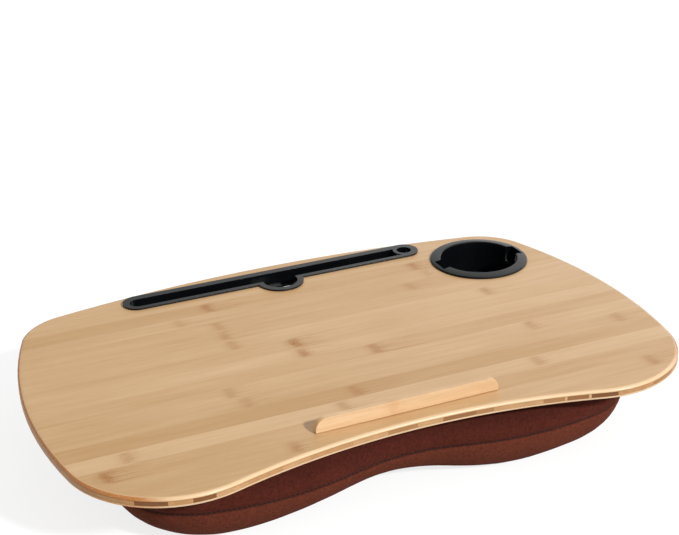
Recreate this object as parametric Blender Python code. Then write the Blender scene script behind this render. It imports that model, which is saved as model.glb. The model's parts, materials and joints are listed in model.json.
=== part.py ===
"""Lap desk: a laminated bamboo board with a media tray, a cup holder and a
lift-out device ledge, carried on a soft cushion with two filled bolsters.

Metres, +Z up from the floor. X runs along the desk, the user sits at -Y, and
the origin is under the middle of the board's outline.
"""

import math

import bmesh
import bpy
import numpy as np
from mathutils import Matrix, Vector

# Board: outline, layers and edge
board_half_width = 0.280
board_back_y = 0.1816
board_notch_y = -0.1552
back_arc_radius = 1.090
side_arc_radius = 0.4415
side_arc_y = -0.0232
notch_arc_radius = 0.575
back_corner_radius = 0.0552
front_corner_radius = 0.088
top_ply_thickness = 0.0028
core_ply_thickness = 0.0033
bottom_ply_thickness = 0.0018
glue_line = 0.0003
edge_round_width = 0.0035
edge_round_depth = 0.0023
underside_round = 0.0006

# Seat between any two pieces that touch
seat_gap = 0.0003

# Cushion: plan at the seam, set in from the board's outline, with heights and fabric
cushion_side_set_in = 0.0390
cushion_back_set_in = 0.0676
cushion_notch_set_in = 0.0188
cushion_lobe_x = 0.1196
cushion_lobe_set_in = 0.0017
cushion_lobe_radius = 0.265
cushion_back_radius = 2.0
cushion_side_radius = 0.420
cushion_side_y = 0.002
cushion_front_corner = 0.070
cushion_left_corner = 0.062
cushion_right_corner = 0.125
cushion_seam_z = 0.0364
cushion_side_height = 0.0288
cover_thickness = 0.0018
liner_thickness = 0.0012
spine_half_length = 0.052
spine_y = -0.028
valley_x = -0.030
valley_half_width = 0.142
valley_rise = 0.0143
resting_cut = 0.0005
seam_draw = 0.0016
top_draw = 0.0070
side_bulge = 0.0020
side_bulge_power = 0.55
corner_start_share = 0.76
corner_power = 1.87
crown_share = 0.012
side_height_shares = (0, 0.25, 0.6, 0.8, 1)
panel_outer_shares = (0.12, 0.38, 0.60, 0.76, 0.85, 0.93, 0.98, 0.995, 1)
panel_inner_shares = (0.12, 0.60, 0.85, 0.93, 0.98, 1)

# Hook-and-loop strips between board and cushion
strip_length = 0.100
strip_width = 0.025
strip_thickness = 0.0012
back_strip_x = 0.095
back_strip_y = 0.062
front_strip_x = 0.110
front_strip_y = -0.100

# Media tray: a long slot, a round notch on its front side and a pen hole
tray_half_length = 0.1529
tray_from_back = 0.0293
tray_width = 0.0284
tray_flange_height = 0.0020
tray_flange_margin = 0.0030
tray_drop = 0.0050
tray_floor = 0.0016
slot_width = 0.0160
slot_set_forward = 0.0016
phone_notch_set_forward = 0.0126
phone_notch_radius = 0.0226
phone_notch_rim = 0.0060
pen_hole_radius = 0.0073
pen_hole_wall = 0.0038
window_length = 0.050
window_width = 0.0090
window_first_x = -0.112
window_pitch = 0.1095
window_count = 3
cutout_clearance = 0.0004

# Cup holder
cup_from_side = 0.0835
cup_from_back = 0.0800
cup_flange_radius = 0.0479
cup_mouth_radius = 0.0376
cup_floor_radius = 0.0340
cup_wall = 0.0016
cup_depth = 0.0340
cup_flange_height = 0.0020
cup_lip_height = 0.0032
cup_edge_round = 0.0008
cup_foot_round = 0.0025
cup_dimple_radius = 0.0130
cup_dimple_depth = 0.0008
pocket_reach = 0.0440
pocket_width = 0.0195
pocket_drop = 0.0050
cup_clearance = 0.0025

# Device ledge
ledge_length = 0.163
ledge_height = 0.0125
ledge_thickness = 0.0050
ledge_from_notch = 0.0150
ledge_corner_radius = 0.0098
ledge_edge_round = 0.0007
tongue_length = 0.128
tongue_thickness = 0.0030
tongue_clearance = 0.0003
tongue_short = 0.0005

# One overrun serves every cut
cut_overrun = 0.004

# Counts of points and faces
back_steps = 16
corner_steps = 20
side_steps = 14
notch_steps = 16
cushion_left_steps = (5, 6, 5, 6, 5, 5)
cushion_right_steps = (5, 17, 5, 6, 5, 5)
turn_sides = 96
slot_end_steps = 20
edge_round_steps = 4

# Places in plan, worked out from the board's outline
cushion_half_width = board_half_width - cushion_side_set_in
cushion_back_y = board_back_y - cushion_back_set_in
cushion_notch_y = board_notch_y + cushion_notch_set_in
cushion_lobe_y = board_notch_y + cushion_lobe_set_in
tray_y = board_back_y - tray_from_back
slot_y = tray_y - slot_set_forward
phone_notch_y = tray_y - phone_notch_set_forward
cup_x = board_half_width - cup_from_side
cup_y = board_back_y - cup_from_back
ledge_front_y = board_notch_y + ledge_from_notch

# Heights worked out from the sizes above
liner_bottom_z = cushion_seam_z + cushion_side_height + seat_gap
liner_top_z = liner_bottom_z + liner_thickness
loop_bottom_z = liner_top_z + seat_gap
hook_bottom_z = loop_bottom_z + strip_thickness + seat_gap
board_bottom_z = hook_bottom_z + strip_thickness + seat_gap
core_bottom_z = board_bottom_z + bottom_ply_thickness + glue_line
top_ply_bottom_z = core_bottom_z + core_ply_thickness + glue_line
board_top_z = top_ply_bottom_z + top_ply_thickness
cup_lip_z = board_top_z + cup_lip_height
cup_floor_z = cup_lip_z - cup_depth
cup_bottom_z = cup_floor_z - cup_wall
pocket_floor_z = board_bottom_z - pocket_drop + cup_wall
tray_bottom_z = board_bottom_z - tray_drop
tray_top_z = board_top_z + tray_flange_height


def clear_scene():
    """Removes every object, so the script can run again in an open file."""
    for obj in list(bpy.data.objects):
        bpy.data.objects.remove(obj)


def make_material(name, colour, roughness, metallic=0.0):
    """A plain Principled material in the piece's own colour."""
    material = bpy.data.materials.new(name)
    material.use_nodes = True
    shader = material.node_tree.nodes["Principled BSDF"]
    shader.inputs["Base Color"].default_value = (*colour, 1.0)
    shader.inputs["Roughness"].default_value = roughness
    shader.inputs["Metallic"].default_value = metallic
    return material


def crossing(centre_a, radius_a, centre_b, radius_b, toward):
    """Where two circles cross, on the side that lies furthest toward a direction."""
    centre_a, centre_b = np.array(centre_a), np.array(centre_b)
    apart = np.linalg.norm(centre_b - centre_a)
    along = (radius_a**2 - radius_b**2 + apart**2) / (2 * apart)
    across = math.sqrt(max(radius_a**2 - along**2, 0))
    step = (centre_b - centre_a) / apart
    turned = np.array((-step[1], step[0]))
    middle = centre_a + step * along
    return max((middle + turned * across, middle - turned * across), key=lambda p: p @ np.array(toward))


def fillet(first, second, radius, toward):
    """The circle of this radius that touches two circles. A hollow circle has a negative radius."""
    centre = crossing(
        first[0], abs(first[1] - radius), second[0], abs(second[1] - radius), toward
    )
    return centre, radius


def touching_point(first, second):
    """Where two touching circles meet."""
    (centre_a, radius_a), (centre_b, radius_b) = first, second
    if radius_a * radius_b > 0 and radius_b > radius_a:
        centre_a, radius_a, centre_b = centre_b, radius_b, centre_a
    centre_a, centre_b = np.array(centre_a), np.array(centre_b)
    step = (centre_b - centre_a) / np.linalg.norm(centre_b - centre_a)
    return centre_a + step * abs(radius_a)


def arc(circle, start, end, steps):
    """Points along a circle from start up to, and not with, end. Hollow circles turn the other way."""
    centre, radius = np.array(circle[0]), circle[1]
    first = math.atan2(*(start - centre)[::-1])
    last = math.atan2(*(end - centre)[::-1])
    if radius > 0 and last > first:
        last -= math.tau
    if radius < 0 and last < first:
        last += math.tau
    angles = np.linspace(first, last, steps, endpoint=False)
    return centre + abs(radius) * np.column_stack((np.cos(angles), np.sin(angles)))


def half_outline(circles, steps, back_y, notch_y, inset):
    """The right half of an outline as a chain of touching circles, back to front, drawn in by inset."""
    drawn = [(centre, radius - inset) for centre, radius in circles]
    joints = [np.array((0, back_y - inset))]
    joints += [touching_point(a, b) for a, b in zip(drawn, drawn[1:])]
    joints.append(np.array((0, notch_y + inset)))
    runs = [arc(c, a, b, n) for c, a, b, n in zip(drawn, joints, joints[1:], steps)]
    return np.vstack((*runs, joints[-1]))


def whole_outline(right, left):
    """Closes a right half with a mirrored left half, clockwise from the back."""
    mirrored = left[::-1] * (-1, 1)
    return np.vstack((right, mirrored[1:-1]))


def board_outline(inset=0.0):
    """The board's plan: back, side and notch arcs with rounded corners."""
    back = ((0, board_back_y - back_arc_radius), back_arc_radius)
    side = ((board_half_width - side_arc_radius, side_arc_y), side_arc_radius)
    notch = ((0, board_notch_y - notch_arc_radius), -notch_arc_radius)
    back_corner = fillet(back, side, back_corner_radius, (1, 1))
    front_corner = fillet(side, notch, front_corner_radius, (1, -1))
    circles = (back, back_corner, side, front_corner, notch)
    steps = (back_steps, corner_steps, side_steps, corner_steps, notch_steps)
    half = half_outline(circles, steps, board_back_y, board_notch_y, inset)
    return whole_outline(half, half)


def cushion_half(corner_radius, steps, inset):
    """One half of the cushion's plan at its seam, with a lobe on each side of the front notch."""
    back = ((0, cushion_back_y - cushion_back_radius), cushion_back_radius)
    side = ((cushion_half_width - cushion_side_radius, cushion_side_y), cushion_side_radius)
    lobe = ((cushion_lobe_x, cushion_lobe_y + cushion_lobe_radius), cushion_lobe_radius)
    rise = cushion_notch_y - cushion_lobe_y
    notch_radius = (cushion_lobe_x**2 + rise**2) / (2 * rise) - cushion_lobe_radius
    notch = ((0, cushion_notch_y - notch_radius), -notch_radius)
    back_corner = fillet(back, side, corner_radius, (1, 1))
    front_corner = fillet(side, lobe, cushion_front_corner, (1, -1))
    circles = (back, back_corner, side, front_corner, lobe, notch)
    return half_outline(circles, steps, cushion_back_y, cushion_notch_y, inset)


def cushion_outline(inset=0.0):
    """The cushion's plan. The corner beside the cup is rounded more than the other."""
    right = cushion_half(cushion_right_corner, cushion_right_steps, inset)
    left = cushion_half(cushion_left_corner, cushion_left_steps, inset)
    return whole_outline(right, left)


def dent_radius(z):
    """How far the cushion keeps from the cup's axis at a height: it tucks in under the cup."""
    pocket_bottom = pocket_floor_z - cup_wall - cup_clearance
    levels = (
        cup_bottom_z - cushion_seam_z / 2,
        cup_bottom_z - cup_clearance,
        pocket_bottom - cup_clearance,
        pocket_bottom,
    )
    radii = (
        0,
        cup_floor_radius + cup_wall + cup_clearance,
        cup_mouth_radius + cup_wall + cup_clearance,
        math.hypot(pocket_reach + cup_wall, pocket_width / 2 + cup_wall) + cup_clearance,
    )
    return np.interp(z, levels, radii)


def make_way_for_cup(points, inset):
    """Pushes the points of a ring away from the cup's axis until they clear it."""
    offset = points[:, :2] - (cup_x, cup_y)
    distance = np.linalg.norm(offset, axis=1)
    radius = dent_radius(points[:, 2])
    wanted = np.where(radius > 0, np.maximum(distance, radius + inset), distance)
    moved = points.copy()
    moved[:, :2] = (cup_x, cup_y) + offset * (wanted / distance)[:, None]
    return moved


def side_ring(height_share, inset):
    """A level ring of the cushion's side, from 0 at the seam to 1 at the liner."""
    draw = (
        seam_draw * (1 - height_share) ** 6
        + top_draw * height_share**4
        - side_bulge * math.sin(math.pi * height_share**side_bulge_power)
    )
    plan = cushion_outline(draw + inset)
    z = cushion_seam_z + seat_gap / 2 + height_share * (cushion_side_height - seat_gap / 2)
    return make_way_for_cup(np.column_stack((plan, np.full(len(plan), z))), inset)


def panel_fall(share):
    """How far the lower panel has fallen, 0 at the seam to 1 at its deepest, at a share of its reach."""
    if share >= corner_start_share:
        across = (share - corner_start_share) / (1 - corner_start_share)
        return (1 - crown_share) * (1 - across**corner_power) ** (1 / corner_power)
    return 1 - crown_share * (share / corner_start_share) ** 2


def panel_ring(share, inset):
    """A ring of the lower panel: the plan shrunk towards the spine by a share, let down to its crown."""
    draw = seam_draw if share == 1 else 0
    plan = cushion_outline(draw + inset)
    spine = plan * (spine_half_length / cushion_half_width, 0) + (0, spine_y)
    plan = spine + (plan - spine) * share
    across = np.minimum(abs(plan[:, 0] - valley_x) / valley_half_width, 1)
    valley = valley_rise * np.cos(across * math.pi / 2) ** 2
    depth = (cushion_seam_z + resting_cut - valley) * panel_fall(share)
    z = np.maximum(cushion_seam_z - seat_gap / 2 - depth, 0) + inset
    z = np.minimum(z, cushion_seam_z - seat_gap / 2)
    return make_way_for_cup(np.column_stack((plan, z)), inset)


def object_from(name, vertices, faces, material):
    """A mesh object with its faces turned outwards and its round parts shaded smooth."""
    mesh = bpy.data.meshes.new(name)
    mesh.from_pydata([tuple(v) for v in vertices], [], faces)
    shape = bmesh.new()
    shape.from_mesh(mesh)
    bmesh.ops.recalc_face_normals(shape, faces=shape.faces)
    if shape.calc_volume(signed=True) < 0:
        bmesh.ops.reverse_faces(shape, faces=shape.faces)
    shape.to_mesh(mesh)
    shape.free()
    mesh.shade_smooth()
    mesh.set_sharp_from_angle(angle=math.radians(35))
    obj = bpy.data.objects.new(name, mesh)
    bpy.context.scene.collection.objects.link(obj)
    if material:
        mesh.materials.append(material)
    return obj


def stitched(edge):
    """Closes a long ring of the cushion by stitching its front to its back, from right to left."""
    reach = cushion_outline()[:, 0]
    start = int(np.argmax(reach))
    order = [(start + k) % len(edge) for k in range(len(edge))]
    front, back = 0, len(order) - 1
    faces = []
    while back - front > 1:
        if reach[order[front + 1]] > reach[order[back - 1]]:
            third = front + 1
            faces.append((front, third, back))
            front = third
        else:
            third = back - 1
            faces.append((front, third, back))
            back = third
    return [tuple(edge[order[corner]] for corner in face) for face in faces]


def loft(name, rings, material, ends=("flat", "flat"), ring_shut=False, turn_back=None):
    """Joins rings of equal counts with quads, and closes the ends flat, with a fan or stitched.

    A soft form names the ring where it turns back inside. Its quads are then split on one
    diagonal going out and on the matching one coming back, so close skins never cross.
    """
    rings = [np.asarray(ring) for ring in rings]
    count = len(rings[0])
    vertices = [point for ring in rings for point in ring]
    pairs = list(range(len(rings) - 1))
    faces = []
    for low in pairs + ([len(rings) - 1] if ring_shut else []):
        high = (low + 1) % len(rings)
        for i in range(count):
            j = (i + 1) % count
            corners = [row * count + k for row, k in ((low, i), (low, j), (high, j), (high, i))]
            if turn_back is None:
                faces.append(tuple(corners))
            elif low < turn_back:
                faces += [tuple(corners[:3]), (corners[0], *corners[2:])]
            else:
                faces += [(*corners[:2], corners[3]), tuple(corners[1:])]
    if not ring_shut:
        for row, end in zip((0, len(rings) - 1), ends):
            edge = [row * count + i for i in range(count)]
            if end == "fan":
                vertices.append(rings[row].mean(axis=0))
                middle = len(vertices) - 1
                faces += [(edge[i], edge[(i + 1) % count], middle) for i in range(count)]
            elif end == "stitched":
                faces += stitched(edge)
            else:
                faces.append(tuple(edge))
    return object_from(name, vertices, faces, material)


def move_origin(obj, point):
    """Sets a piece's origin without moving the piece."""
    obj.data.transform(Matrix.Translation(-Vector(point)))
    obj.location = point


def at_height(plan, z):
    """A flat ring from plan points."""
    return np.column_stack((plan, np.full(len(plan), z)))


def block(name, size, centre, material=None):
    """A box of this size about a centre."""
    half_x, half_y, half_z = (side / 2 for side in size)
    corners = np.array(((-half_x, -half_y), (half_x, -half_y), (half_x, half_y), (-half_x, half_y)))
    corners = corners + centre[:2]
    rings = (at_height(corners, centre[2] - half_z), at_height(corners, centre[2] + half_z))
    return loft(name, rings, material)


def disc(name, radius, centre, low_z, high_z, sides=turn_sides, material=None):
    """An upright cylinder."""
    angles = np.linspace(0, math.tau, sides, endpoint=False)
    plan = np.array(centre) + radius * np.column_stack((np.cos(angles), np.sin(angles)))
    return loft(name, (at_height(plan, low_z), at_height(plan, high_z)), material)


def stadium_plan(half_length, width, centre_y):
    """A straight slot outline with round ends."""
    radius = width / 2
    angles = np.linspace(-math.pi / 2, math.pi / 2, slot_end_steps + 1)
    end = radius * np.column_stack((np.cos(angles), np.sin(angles)))
    right = end + (half_length - radius, centre_y)
    left = (end * (-1, 1))[::-1] + (radius - half_length, centre_y)
    return np.vstack((right, left))


def stadium(name, half_length, width, centre_y, low_z, high_z, material=None):
    """An upright slab with round ends."""
    plan = stadium_plan(half_length, width, centre_y)
    return loft(name, (at_height(plan, low_z), at_height(plan, high_z)), material)


def hide_helper(obj):
    """Marks a cutter or an added shape as a helper, which is not itself a piece."""
    obj.hide_render = True
    obj.hide_set(True)
    obj.display_type = "WIRE"
    return obj


def combine(obj, helper, operation):
    """Adds a Boolean to a piece, with a hidden helper."""
    modifier = obj.modifiers.new(helper.name, "BOOLEAN")
    modifier.operation = operation
    modifier.solver = "EXACT"
    modifier.object = hide_helper(helper)
    return obj


def cut(obj, *helpers):
    """Takes each helper out of a piece."""
    for helper in helpers:
        combine(obj, helper, "DIFFERENCE")
    return obj


def add(obj, *helpers):
    """Joins each helper to a piece."""
    for helper in helpers:
        combine(obj, helper, "UNION")
    return obj


def board_cutters():
    """The openings through the board: tray slot, phone notch, cup hole with pockets, ledge slot."""
    low_z = board_bottom_z - cut_overrun
    high_z = board_top_z + cut_overrun
    height = high_z - low_z
    middle_z = (high_z + low_z) / 2
    tray_cut_half = tray_half_length - tray_flange_margin
    tray_cut_width = tray_width - 2 * tray_flange_margin
    notch_cut_radius = phone_notch_radius - tray_flange_margin + cutout_clearance
    cup_hole_radius = cup_mouth_radius + cup_wall + cutout_clearance
    pocket_half = pocket_reach + cup_wall + cutout_clearance
    pocket_cut_width = pocket_width + 2 * (cup_wall + cutout_clearance)
    slot_length = tongue_length + 2 * tongue_clearance
    slot_thickness = tongue_thickness + 2 * tongue_clearance
    ledge_y = ledge_front_y + ledge_thickness / 2
    return (
        stadium("tray_cut", tray_cut_half, tray_cut_width, tray_y, low_z, high_z),
        disc("phone_notch_cut", notch_cut_radius, (0, phone_notch_y), low_z, high_z),
        disc("cup_cut", cup_hole_radius, (cup_x, cup_y), low_z, high_z),
        block("pocket_cut", (2 * pocket_half, pocket_cut_width, height), (cup_x, cup_y, middle_z)),
        block("ledge_cut", (slot_length, slot_thickness, height), (0, ledge_y, middle_z)),
    )


def make_board(bamboo, end_grain, pale_bamboo):
    """Three glued layers: the top one carries the rounded edge, the core shows its end grain."""
    angles = np.linspace(0, math.pi / 2, edge_round_steps + 1)
    rounded = [
        at_height(
            board_outline(edge_round_width * (1 - math.cos(a))),
            board_top_z - edge_round_depth * (1 - math.sin(a)),
        )
        for a in angles
    ]
    plan = board_outline()
    top = loft("board_top_ply", (at_height(plan, top_ply_bottom_z), *rounded), bamboo)
    core_rings = (at_height(plan, core_bottom_z), at_height(plan, core_bottom_z + core_ply_thickness))
    core = loft("board_core_ply", core_rings, end_grain)
    bottom_rings = (
        at_height(board_outline(underside_round), board_bottom_z),
        at_height(plan, board_bottom_z + underside_round),
        at_height(plan, board_bottom_z + bottom_ply_thickness),
    )
    bottom = loft("board_bottom_ply", bottom_rings, pale_bamboo)
    cutters = board_cutters()
    for ply in (top, core, bottom):
        cut(ply, *cutters)


def make_media_tray(plastic):
    """One moulding: a flange on the board, a body in the cut-out, a slot, a notch and a pen hole."""
    body_half = tray_half_length - tray_flange_margin - cutout_clearance
    body_width = tray_width - 2 * (tray_flange_margin + cutout_clearance)
    body_notch_radius = phone_notch_radius - tray_flange_margin
    floor_z = tray_bottom_z + tray_floor
    seat_z = board_top_z + seat_gap
    over_z = tray_top_z + cut_overrun
    slot_half = tray_half_length - (tray_width - slot_width) / 2
    pen_x = tray_half_length - tray_width / 2
    tray = stadium("media_tray", tray_half_length, tray_width, tray_y, seat_z, tray_top_z, plastic)
    move_origin(tray, (0, tray_y, board_top_z))
    add(
        tray,
        disc("notch_flange", phone_notch_radius, (0, phone_notch_y), seat_z, tray_top_z),
        stadium("tray_body", body_half, body_width, tray_y, tray_bottom_z, tray_top_z - tray_floor / 2),
        disc(
            "notch_body",
            body_notch_radius,
            (0, phone_notch_y),
            tray_bottom_z,
            tray_top_z - tray_floor / 2,
        ),
    )
    slot = stadium("slot_cut", slot_half, slot_width, slot_y, floor_z, over_z)
    pen_post_low = floor_z - cut_overrun
    pen_post_high = over_z + cut_overrun
    pen_post_radius = pen_hole_radius + pen_hole_wall
    cut(slot, disc("pen_post", pen_post_radius, (pen_x, tray_y), pen_post_low, pen_post_high))
    notch_radius = phone_notch_radius - phone_notch_rim
    cut(
        tray,
        slot,
        disc("notch_pocket", notch_radius, (0, phone_notch_y), floor_z, over_z),
        disc("pen_cut", pen_hole_radius, (pen_x, tray_y), floor_z, over_z, slot_end_steps * 2),
    )
    window_height = tray_floor + 2 * cut_overrun
    window_z = tray_bottom_z + tray_floor / 2
    for i in range(window_count):
        centre = (window_first_x + i * window_pitch, slot_y, window_z)
        cut(tray, block(f"window_cut_{i + 1}", (window_length, window_width, window_height), centre))


def turned(name, profile, centre, material):
    """A closed solid of revolution from (radius, z) points that start and end on the axis."""
    angles = np.linspace(0, math.tau, turn_sides, endpoint=False)
    circle = np.column_stack((np.cos(angles), np.sin(angles)))
    rings = [at_height(np.array(centre) + radius * circle, z) for radius, z in profile[1:-1]]
    return loft(name, rings, material, ("fan", "fan"))


def make_cup_holder(plastic):
    """A tapered cup with a crowned flange that rests on the board, and two finger pockets."""
    seat_z = board_top_z + seat_gap
    edge_z = board_top_z + cup_flange_height
    outer_mouth = cup_mouth_radius + cup_wall
    outer_foot = cup_floor_radius + cup_wall
    profile = (
        (0, cup_bottom_z + cup_dimple_depth),
        (cup_dimple_radius, cup_bottom_z + cup_dimple_depth),
        (cup_dimple_radius, cup_bottom_z),
        (outer_foot - cup_foot_round, cup_bottom_z),
        (outer_foot, cup_bottom_z + cup_foot_round),
        (outer_mouth, seat_z),
        (cup_flange_radius, seat_z),
        (cup_flange_radius, edge_z - cup_edge_round),
        (cup_flange_radius - cup_edge_round, edge_z),
        (cup_mouth_radius + 2 * cup_edge_round, cup_lip_z),
        (cup_mouth_radius + cup_edge_round, cup_lip_z),
        (cup_mouth_radius, cup_lip_z - cup_edge_round),
        (cup_floor_radius, cup_floor_z + cup_foot_round),
        (cup_floor_radius - cup_foot_round, cup_floor_z),
        (0, cup_floor_z),
    )
    cup = turned("cup_holder", profile, (cup_x, cup_y), plastic)
    move_origin(cup, (cup_x, cup_y, board_top_z))
    bump_low = pocket_floor_z - cup_wall
    bump_high = seat_z + seat_gap
    bump_width = pocket_width + 2 * cup_wall
    inner_reach = cup_floor_radius
    pocket_high = cup_lip_z + cut_overrun
    for side, word in ((-1, "left"), (1, "right")):
        bump_far = pocket_reach + cup_wall
        bump_near = cup_mouth_radius
        bump_x = cup_x + side * (bump_far + bump_near) / 2
        bump_size = (bump_far - bump_near, bump_width, bump_high - bump_low)
        bump_centre = (bump_x, cup_y, (bump_high + bump_low) / 2)
        add(cup, block(f"pocket_bump_{word}", bump_size, bump_centre))
    for side, word in ((-1, "left"), (1, "right")):
        pocket_x = cup_x + side * (pocket_reach + inner_reach) / 2
        pocket_size = (pocket_reach - inner_reach, pocket_width, pocket_high - pocket_floor_z)
        pocket_centre = (pocket_x, cup_y, (pocket_high + pocket_floor_z) / 2)
        cut(cup, block(f"pocket_hollow_{word}", pocket_size, pocket_centre))


def upright_plate(name, profile, thickness, middle_y, material=None):
    """Extrudes an outline of (x, z) points along Y, evenly about middle_y."""
    profile = np.array(profile)
    rings = [
        np.column_stack((profile[:, 0], np.full(len(profile), y), profile[:, 1]))
        for y in (middle_y - thickness / 2, middle_y + thickness / 2)
    ]
    return loft(name, rings, material)


def make_device_ledge(bamboo):
    """A strip with two rounded corners and a tongue that drops into a slot through the board."""
    seat_z = board_top_z + seat_gap
    top_z = board_top_z + ledge_height
    half = ledge_length / 2
    angles = np.linspace(0, math.pi / 2, edge_round_steps * 2 + 1)
    corner = ledge_corner_radius * np.column_stack((np.cos(angles), np.sin(angles)))
    right = corner + (half - ledge_corner_radius, top_z - ledge_corner_radius)
    left = (right * (-1, 1))[::-1]
    profile = np.vstack(((half, seat_z), right, left, (-half, seat_z)))
    middle_y = ledge_front_y + ledge_thickness / 2
    ledge = upright_plate("device_ledge", profile, ledge_thickness, middle_y, bamboo)
    move_origin(ledge, (0, middle_y, board_top_z))
    rounding = ledge.modifiers.new("edge_round", "BEVEL")
    rounding.width = ledge_edge_round
    rounding.segments = 2
    rounding.limit_method = "ANGLE"
    rounding.angle_limit = math.radians(60)
    tongue_low = board_bottom_z + tongue_short
    tongue_high = seat_z + ledge_height / 4
    tongue_size = (tongue_length, tongue_thickness, tongue_high - tongue_low)
    tongue_centre = (0, middle_y, (tongue_high + tongue_low) / 2)
    add(ledge, block("ledge_tongue", tongue_size, tongue_centre))


def make_cover(knit, knit_dark, lining):
    """The cushion's cover: a side band, a crowned lower panel and a liner under the board."""
    outer = [side_ring(share, 0) for share in side_height_shares]
    inner = [side_ring(share, cover_thickness) for share in side_height_shares]
    rings = outer + inner[::-1]
    loft("cushion_side_panel", rings, knit_dark, ring_shut=True, turn_back=len(outer))
    outer = [panel_ring(share, 0) for share in panel_outer_shares]
    inner = [panel_ring(share, cover_thickness) for share in panel_inner_shares]
    rings = outer + inner[::-1]
    loft("cushion_lower_panel", rings, knit, ("stitched", "stitched"), turn_back=len(outer))
    plan = side_ring(1, 0)[:, :2]
    rings = (at_height(plan, liner_bottom_z), at_height(plan, liner_top_z))
    loft("cushion_top_liner", rings, lining)


def make_fill(foam):
    """Two bead bolsters that fill the cover from the liner to the lower panel, parted at the middle."""
    inset = cover_thickness + seat_gap
    rings = [panel_ring(share, inset) for share in panel_inner_shares[:-2]]
    rings += [side_ring(share, inset) for share in side_height_shares[:-1]]
    for side, word in ((-1, "left"), (1, "right")):
        ends = ("stitched", "flat")
        bolster = loft(f"cushion_fill_{word}", rings, foam, ends, turn_back=len(rings))
        shape = bmesh.new()
        shape.from_mesh(bolster.data)
        everything = [*shape.verts, *shape.edges, *shape.faces]
        cut_result = bmesh.ops.bisect_plane(
            shape,
            geom=everything,
            plane_co=(side * seat_gap / 2, 0, 0),
            plane_no=(-side, 0, 0),
            clear_outer=True,
        )
        open_edges = [e for e in cut_result["geom_cut"] if isinstance(e, bmesh.types.BMEdge)]
        bmesh.ops.edgeloop_fill(shape, edges=open_edges)
        bmesh.ops.recalc_face_normals(shape, faces=shape.faces)
        shape.to_mesh(bolster.data)
        shape.free()


def make_strips(hook, loop):
    """Four hook strips under the board and four loop strips on the liner, face to face."""
    size = (strip_length, strip_width, strip_thickness)
    places = (
        ("back", back_strip_x, back_strip_y),
        ("front", front_strip_x, front_strip_y),
    )
    for row, x, y in places:
        for side, word in ((-1, "left"), (1, "right")):
            hook_centre = (side * x, y, hook_bottom_z + strip_thickness / 2)
            loop_centre = (side * x, y, loop_bottom_z + strip_thickness / 2)
            block(f"hook_strip_{row}_{word}", size, hook_centre, hook)
            block(f"loop_strip_{row}_{word}", size, loop_centre, loop)


def main():
    clear_scene()
    bamboo = make_material("bamboo", (0.62, 0.42, 0.21), 0.42)
    end_grain = make_material("bamboo_end_grain", (0.45, 0.26, 0.11), 0.55)
    pale_bamboo = make_material("pale_bamboo", (0.74, 0.57, 0.32), 0.5)
    plastic = make_material("black_plastic", (0.02, 0.02, 0.022), 0.45)
    knit = make_material("brown_knit", (0.135, 0.035, 0.022), 0.9)
    knit_dark = make_material("brown_knit_side", (0.085, 0.022, 0.017), 0.9)
    lining = make_material("lining", (0.05, 0.035, 0.03), 0.95)
    foam = make_material("bead_fill", (0.8, 0.8, 0.78), 0.8)
    hook = make_material("hook_tape", (0.03, 0.03, 0.03), 0.7)
    loop = make_material("loop_tape", (0.05, 0.05, 0.05), 0.95)
    make_board(bamboo, end_grain, pale_bamboo)
    make_media_tray(plastic)
    make_cup_holder(plastic)
    make_device_ledge(bamboo)
    make_cover(knit, knit_dark, lining)
    make_fill(foam)
    make_strips(hook, loop)


main()
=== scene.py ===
# %% [markdown]
# # A lap desk in bamboo, black plastic and brown knit
# The desk is a thin laminated bamboo board on a cushion filled with small beads.
# A media tray and a cup holder drop into cut-outs in the board, and a low bamboo
# ledge stands in a slot near the front. The imported frame holds every solid at its
# real size, in metres, with the floor at zero and the user at -Y. This lesson
# dresses that frame, so it never moves or resizes a solid. It reads the frame first.

# %% Load the frame
import json
import math

import bmesh
import bpy
import numpy as np
from mathutils import Matrix, Vector
from mathutils.bvhtree import BVHTree
from mathutils.kdtree import KDTree

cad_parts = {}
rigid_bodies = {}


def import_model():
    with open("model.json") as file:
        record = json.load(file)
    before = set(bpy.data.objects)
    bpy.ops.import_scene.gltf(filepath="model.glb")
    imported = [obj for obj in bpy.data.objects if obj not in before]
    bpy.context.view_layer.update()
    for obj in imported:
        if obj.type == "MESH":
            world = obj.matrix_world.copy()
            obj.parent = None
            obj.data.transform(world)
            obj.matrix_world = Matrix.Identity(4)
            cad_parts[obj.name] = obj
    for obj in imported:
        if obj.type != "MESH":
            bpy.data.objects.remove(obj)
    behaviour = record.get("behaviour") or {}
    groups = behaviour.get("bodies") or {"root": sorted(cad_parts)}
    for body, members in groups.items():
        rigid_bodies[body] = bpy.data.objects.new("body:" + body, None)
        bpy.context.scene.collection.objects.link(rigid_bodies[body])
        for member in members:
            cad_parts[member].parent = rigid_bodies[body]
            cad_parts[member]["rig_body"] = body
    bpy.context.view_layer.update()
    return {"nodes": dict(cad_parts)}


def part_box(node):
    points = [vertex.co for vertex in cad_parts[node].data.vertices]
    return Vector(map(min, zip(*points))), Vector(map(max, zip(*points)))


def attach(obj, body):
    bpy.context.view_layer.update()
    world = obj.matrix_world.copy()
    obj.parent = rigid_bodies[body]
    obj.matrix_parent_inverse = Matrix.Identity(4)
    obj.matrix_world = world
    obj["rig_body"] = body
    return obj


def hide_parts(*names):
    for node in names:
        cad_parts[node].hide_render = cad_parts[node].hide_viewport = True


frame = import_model()
board_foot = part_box("board_bottom_ply")[0].z
board_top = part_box("board_top_ply")[1].z
print(len(frame["nodes"]), "solids, board from", round(board_foot, 4), "to", round(board_top, 4))

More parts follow.
